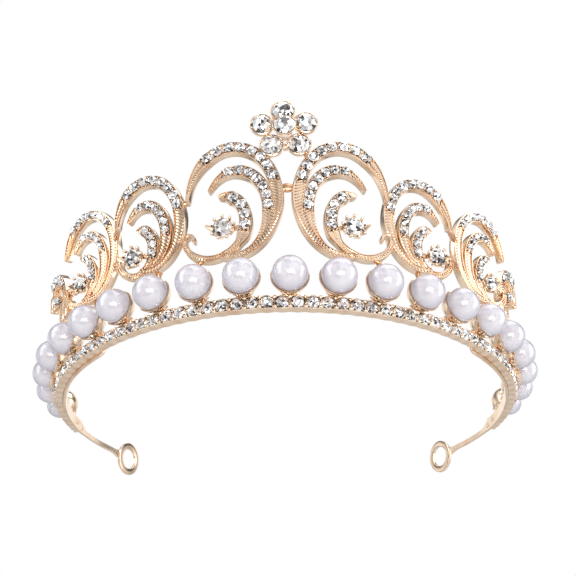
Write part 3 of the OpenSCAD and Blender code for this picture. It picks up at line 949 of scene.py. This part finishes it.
def build_solder():
    """Drops and posts that join the scrolls to each other, to the cups and to the flower."""
    bm = bmesh.new()
    drop = bead(14, 9)
    post = template(lathe(
        [(0, 0), (0.95, 0), (0.75, 0.25), (0.6, 0.55), (0.75, 0.8), (0.95, 1), (0, 1)], 14))
    middle = leaning_wall(0, 1, 0, WALL_LEAN, 0)
    stamp(bm, drop, middle @ Matrix.Translation((-0.3, 24, 0)) @ stretch(1.8, 1.25, 0.8))
    # angles on the next scroll's outer stroke, where the tip and the foot meet it
    tip_joints = (166, 172)
    foot_joints = (212, 206)
    # for each post: its pearl, counted from the middle, its start above the pearls and its height
    posts = ((1, 3.7, 3.0), (2, 3.7, 3.8), (3, 3.7, 3.0), (5, 3.7, 3.2), (7, 3.7, 3.2))
    for side in (-1, 1):
        for i, (tip_joint, foot_joint) in enumerate(zip(tip_joints, foot_joints)):
            here, there = scroll_wall(i, side), scroll_wall(i + 1, side)
            back = Bow(OUTER_BOWS[i + 1])
            tip = Bow(OUTER_BOWS[i]).point(math.radians(OUTER_BOWS[i][4] + 3))
            foot = Bow(FOOT_BOWS[i]).point(math.radians(FOOT_BOWS[i][5]))
            joint(bm, drop, here @ tip, there @ back.point(math.radians(tip_joint)))
            joint(bm, drop, here @ foot, there @ back.point(math.radians(foot_joint)))
        for count, z, height in posts:
            place = on_line(count * PEARL_PITCH, side) @ Matrix.Translation((0, 2.3, PEARL_Z + z))
            stamp(bm, post, place @ stretch(1, 1, height))
        stamp(bm, drop, middle @ Matrix.Translation((4.7 * side, 33.2, 0)) @ stretch(0.95, 0.95, 0.9))
    return bm


# ---------------------------------------------------------------- operators


class TIARA_OT_rail(bpy.types.Operator):
    """Builds the stone-set rail"""

    bl_idname = "tiara.rail"
    bl_label = "Rail"

    def execute(self, context):
        scallop = context.scene.tiara_sizes.rail_scallop / MM
        finish_piece("rail", build_rail(scallop), materials()["rail_gold"], ["band_rail"])
        bm = bmesh.new()
        gem = brilliant(RAIL_STONE, RAIL_STONE_H)
        for side in (-1, 1):
            for n in range(RAIL_STONES):
                seat = on_line((n + 0.5) * RAIL_PITCH, side)
                seat = seat @ Matrix.Translation((0, RAIL_FACE + RAIL_GROOVE, RAIL_MID))
                turned = Matrix.Rotation(math.pi / 2, 4, "X") @ Matrix.Rotation(RAIL_SPIN * n, 4, "Z")
                stamp(bm, gem, seat @ turned)
        finish_piece("rail_gems", bm, materials()["small_crystal"], ["band_stones"], smooth=False)
        return {"FINISHED"}


class TIARA_OT_pearls(bpy.types.Operator):
    """Builds the row of pearls"""

    bl_idname = "tiara.pearls"
    bl_label = "Pearls"

    def execute(self, context):
        ball = build_pearl()
        for k in range(1, 2 * PEARLS_EACH_SIDE + 2):
            bm = bmesh.new()
            stamp(bm, ball, at_pearl(k) @ Matrix.Rotation(PEARL_SPIN * k, 4, "Z"))
            finish_piece(f"nacre_{k:02d}", bm, materials()["pearl_nacre"], [f"pearl_{k:02d}"])
        return {"FINISHED"}


class TIARA_OT_cups(bpy.types.Operator):
    """Builds the cups and collars that carry the pearls"""

    bl_idname = "tiara.cups"
    bl_label = "Pearl cups"

    def execute(self, context):
        cup = build_cup(context.scene.tiara_sizes.cup_wall / MM)
        collar = build_collar()
        bm = bmesh.new()
        for k in range(1, 2 * PEARLS_EACH_SIDE + 2):
            stamp(bm, cup, at_pearl(k))
            upright = at_pearl(k) @ Matrix.Rotation(math.pi / 2, 4, "X")
            stamp(bm, collar, upright @ Matrix.Translation((0, 4.05, -3.42)) @ stretch(0.95, 0.36, 0.75))
        finish_piece("cup_row", bm, materials()["polished_gold"], ["pearl_cups"])
        return {"FINISHED"}


class TIARA_OT_scrolls(bpy.types.Operator):
    """Builds the scroll castings"""

    bl_idname = "tiara.scrolls"
    bl_label = "Scroll castings"

    def execute(self, context):
        for i in range(len(STONE_COUNTS)):
            casting = template(build_scroll(i, context.scene.tiara_sizes))
            for word, side in SIDES:
                bm = bmesh.new()
                stamp(bm, casting, scroll_wall(i, side))
                name = f"scroll_{i + 1}_{word}"
                finish_piece("cast_" + name, bm, materials()["polished_gold"], [name])
        return {"FINISHED"}


class TIARA_OT_pave(bpy.types.Operator):
    """Builds the small stones set in the scrolls"""

    bl_idname = "tiara.pave"
    bl_label = "Scroll stones"

    def execute(self, context):
        for i in range(len(STONE_COUNTS)):
            gems = template(build_pave(i))
            for word, side in SIDES:
                bm = bmesh.new()
                stamp(bm, gems, scroll_wall(i, side))
                node = f"scroll_{i + 1}_{word}_stones"
                name = f"gems_{i + 1}_{word}"
                finish_piece(name, bm, materials()["small_crystal"], [node], smooth=False)
        return {"FINISHED"}


class TIARA_OT_solitaires(bpy.types.Operator):
    """Builds the crown settings and their stones"""

    bl_idname = "tiara.solitaires"
    bl_label = "Crown settings"

    def execute(self, context):
        for i, (x, z) in enumerate(SOLITAIRE_AT):
            crown = template(build_crown(i))
            gem = brilliant(SOLITAIRE_D[i], SOLITAIRE_H)
            blob = bead(12, 8)
            for word, side in SIDES:
                place = scroll_wall(i, side) @ Matrix.Translation((x, z, -SETTING_BACK))
                bm = bmesh.new()
                stamp(bm, crown, place)
                reach = x - INNER_BOWS[i][0] + INNER_BOWS[i][2]
                gap = (reach + SOLITAIRE_D[i] / 2) / 2
                bridge = Matrix.Translation((-gap, 0, 0.75)) @ stretch(reach - gap + 0.6, 0.8, 0.6)
                stamp(bm, blob, place @ bridge)
                name = f"setting_{i + 1}_{word}"
                finish_piece("crown_" + name, bm, materials()["polished_gold"], [name])
                bm = bmesh.new()
                stamp(bm, gem, place @ Matrix.Translation((0, 0, SOLITAIRE_SEAT)))
                node = f"solitaire_{i + 1}_{word}"
                finish_piece("gem_" + node, bm, materials()["large_crystal"], [node], smooth=False)
        return {"FINISHED"}


class TIARA_OT_flower(bpy.types.Operator):
    """Builds the flower"""

    bl_idname = "tiara.flower"
    bl_label = "Flower"

    def execute(self, context):
        wall = flower_wall()
        crystal = materials()["large_crystal"]
        bm = build_flower()
        bmesh.ops.transform(bm, matrix=wall, verts=bm.verts)
        finish_piece("flower_gold", bm, materials()["polished_gold"], ["flower_cups"])
        bm = bmesh.new()
        gem = brilliant(PETAL_D, PETAL_H)
        for n in range(PETALS):
            stamp(bm, gem, wall @ polar(90 + 72 * n, PETAL_RING, PETAL_SEAT))
        finish_piece("flower_gems", bm, crystal, ["flower_petal_stones"], smooth=False)
        bm = bmesh.new()
        stamp(bm, brilliant(CENTRE_D, CENTRE_H), wall @ Matrix.Translation((0, 0, CENTRE_SEAT)))
        finish_piece("flower_heart", bm, crystal, ["flower_centre_stone"], smooth=False)
        return {"FINISHED"}


class TIARA_OT_loops(bpy.types.Operator):
    """Builds the side strips and the end rings"""

    bl_idname = "tiara.loops"
    bl_label = "Side strips and end rings"

    def execute(self, context):
        for word, side in SIDES:
            gold = materials()["polished_gold"]
            finish_piece("strip_" + word, build_strip(side), gold, ["side_strip_" + word])
            finish_piece("ring_" + word, build_end_ring(side), gold, ["end_ring_" + word])
        return {"FINISHED"}


class TIARA_OT_solder(bpy.types.Operator):
    """Builds the soldered joints"""

    bl_idname = "tiara.solder"
    bl_label = "Solder joints"

    def execute(self, context):
        gold = materials()["solder_gold"]
        finish_piece("solder_joints", build_solder(), gold, ["solder_links"])
        return {"FINISHED"}


def area_light(name, place, width, height, power):
    """A soft lamp that shines towards the tiara."""
    lamp = bpy.data.lights.new(name, "AREA")
    lamp.shape = "RECTANGLE"
    lamp.size = width
    lamp.size_y = height
    lamp.energy = power
    holder = bpy.data.objects.new(name, lamp)
    holder.location = place
    holder.rotation_euler = (Vector(AIM) - Vector(place)).to_track_quat("-Z", "Y").to_euler()
    bpy.context.scene.collection.objects.link(holder)


def dark_card():
    """A dark card below and behind the camera, for the pearls to mirror."""
    bm = bmesh.new()
    bmesh.ops.create_grid(bm, x_segments=1, y_segments=1, size=0.5)
    away = Vector(CARD_AT)
    facing = (Vector(CARD_AIM) - away).to_track_quat("Z", "Y").to_matrix().to_4x4()
    place = Matrix.Translation(away) @ facing @ stretch(CARD_WIDTH, CARD_HEIGHT, 1)
    bmesh.ops.transform(bm, matrix=place, verts=bm.verts)
    card = add_object("dark_card", bm, board("dark_board", 0.02, 0.04))
    card.visible_camera = False


def studio_world():
    """White surroundings, with softly darker patches for the metal and stones to mirror."""
    world = bpy.data.worlds.new("studio")
    bpy.context.scene.world = world
    world.use_nodes = True
    tree = world.node_tree
    tree.nodes.clear()
    output = tree.nodes.new("ShaderNodeOutputWorld")
    mirrored = tree.nodes.new("ShaderNodeBackground")
    seen = tree.nodes.new("ShaderNodeBackground")
    seen.inputs["Color"].default_value = (1, 1, 1, 1)
    coords = tree.nodes.new("ShaderNodeTexCoord")
    patches = tree.nodes.new("ShaderNodeTexNoise")
    patches.inputs["Scale"].default_value = 1.6
    patches.inputs["Detail"].default_value = 1.0
    tree.links.new(coords.outputs["Generated"], patches.inputs["Vector"])
    stops = ((0.34, grey(0.12)), (0.45, grey(0.6)), (0.58, grey(1.05)))
    tree.links.new(ramp(tree, patches.outputs["Fac"], stops), mirrored.inputs["Color"])
    path = tree.nodes.new("ShaderNodeLightPath")
    choice = tree.nodes.new("ShaderNodeMixShader")
    tree.links.new(path.outputs["Is Camera Ray"], choice.inputs["Fac"])
    tree.links.new(mirrored.outputs["Background"], choice.inputs[1])
    tree.links.new(seen.outputs["Background"], choice.inputs[2])
    tree.links.new(choice.outputs["Shader"], output.inputs["Surface"])


def board(name, low, high):
    """Matt board with a faint grain."""
    material, tree, shader = new_material(name)
    shader.inputs["Roughness"].default_value = 0.9
    fibres = texture(tree, "ShaderNodeTexNoise", 40, Detail=3.0)
    stops = ((0.3, grey(low)), (0.7, grey(high)))
    tree.links.new(ramp(tree, fibres.outputs["Fac"], stops), shader.inputs["Base Color"])
    return material


class TIARA_OT_stage(bpy.types.Operator):
    """Sets up the floor, the lamps and the camera"""

    bl_idname = "tiara.stage"
    bl_label = "Stage"

    def execute(self, context):
        stage = context.scene.tiara_stage
        context.scene.view_settings.view_transform = "Standard"
        bm = bmesh.new()
        place = Matrix.Translation((0, 0, -stage.floor_drop))
        bmesh.ops.create_grid(bm, x_segments=8, y_segments=8, size=stage.floor_width / 2, matrix=place)
        floor = add_object("floor", bm, board("pale_board", 0.86, 0.9))
        studio_world()
        for name, lamp_at, width, height, power in LAMPS:
            area_light(name, lamp_at, width, height, power * stage.light)
        dark_card()
        camera_data = bpy.data.cameras.new("camera")
        camera_data.lens = stage.lens
        camera_data.sensor_width = 36
        camera_data.clip_start = 0.005
        camera = bpy.data.objects.new("camera", camera_data)
        camera.matrix_world = (
            Matrix.Translation(CAMERA_AT)
            @ Matrix.Rotation(CAMERA_YAW, 4, "Z")
            @ Matrix.Rotation(math.pi / 2 + CAMERA_CLIMB, 4, "X")
            @ Matrix.Rotation(CAMERA_ROLL, 4, "Z"))
        context.scene.collection.objects.link(camera)
        context.scene.camera = camera
        return {"FINISHED"}


class TIARA_PT_panel(bpy.types.Panel):
    """Sidebar panel that lists the tiara's pieces"""

    bl_idname = "TIARA_PT_panel"
    bl_label = "Tiara"
    bl_space_type = "VIEW_3D"
    bl_region_type = "UI"
    bl_category = "Tiara"

    def draw(self, context):
        for group in (context.scene.tiara_sizes, context.scene.tiara_finish, context.scene.tiara_stage):
            column = self.layout.column()
            for name in group.__annotations__:
                column.prop(group, name)
        for operator in OPERATORS:
            self.layout.operator(operator.bl_idname)


OPERATORS = (
    TIARA_OT_stage,
    TIARA_OT_rail,
    TIARA_OT_pearls,
    TIARA_OT_cups,
    TIARA_OT_scrolls,
    TIARA_OT_pave,
    TIARA_OT_solitaires,
    TIARA_OT_flower,
    TIARA_OT_loops,
    TIARA_OT_solder,
)
GROUPS = (TiaraSizes, TiaraFinish, TiaraStage)


def register():
    for part in GROUPS + OPERATORS + (TIARA_PT_panel,):
        bpy.utils.register_class(part)
    bpy.types.Scene.tiara_sizes = bpy.props.PointerProperty(type=TiaraSizes)
    bpy.types.Scene.tiara_finish = bpy.props.PointerProperty(type=TiaraFinish)
    bpy.types.Scene.tiara_stage = bpy.props.PointerProperty(type=TiaraStage)


def unregister():
    del bpy.types.Scene.tiara_sizes
    del bpy.types.Scene.tiara_finish
    del bpy.types.Scene.tiara_stage
    for part in reversed(GROUPS + OPERATORS + (TIARA_PT_panel,)):
        bpy.utils.unregister_class(part)


def main():
    """Builds the tiara and removes the template meshes."""
    register()
    bpy.ops.tiara.stage()
    bpy.ops.tiara.rail()
    bpy.ops.tiara.pearls()
    bpy.ops.tiara.cups()
    bpy.ops.tiara.scrolls()
    bpy.ops.tiara.pave()
    bpy.ops.tiara.solitaires()
    bpy.ops.tiara.flower()
    bpy.ops.tiara.loops()
    bpy.ops.tiara.solder()
    for mesh in [m for m in bpy.data.meshes if m.name.startswith("template")]:
        bpy.data.meshes.remove(mesh)


if __name__ == "__main__":
    main()
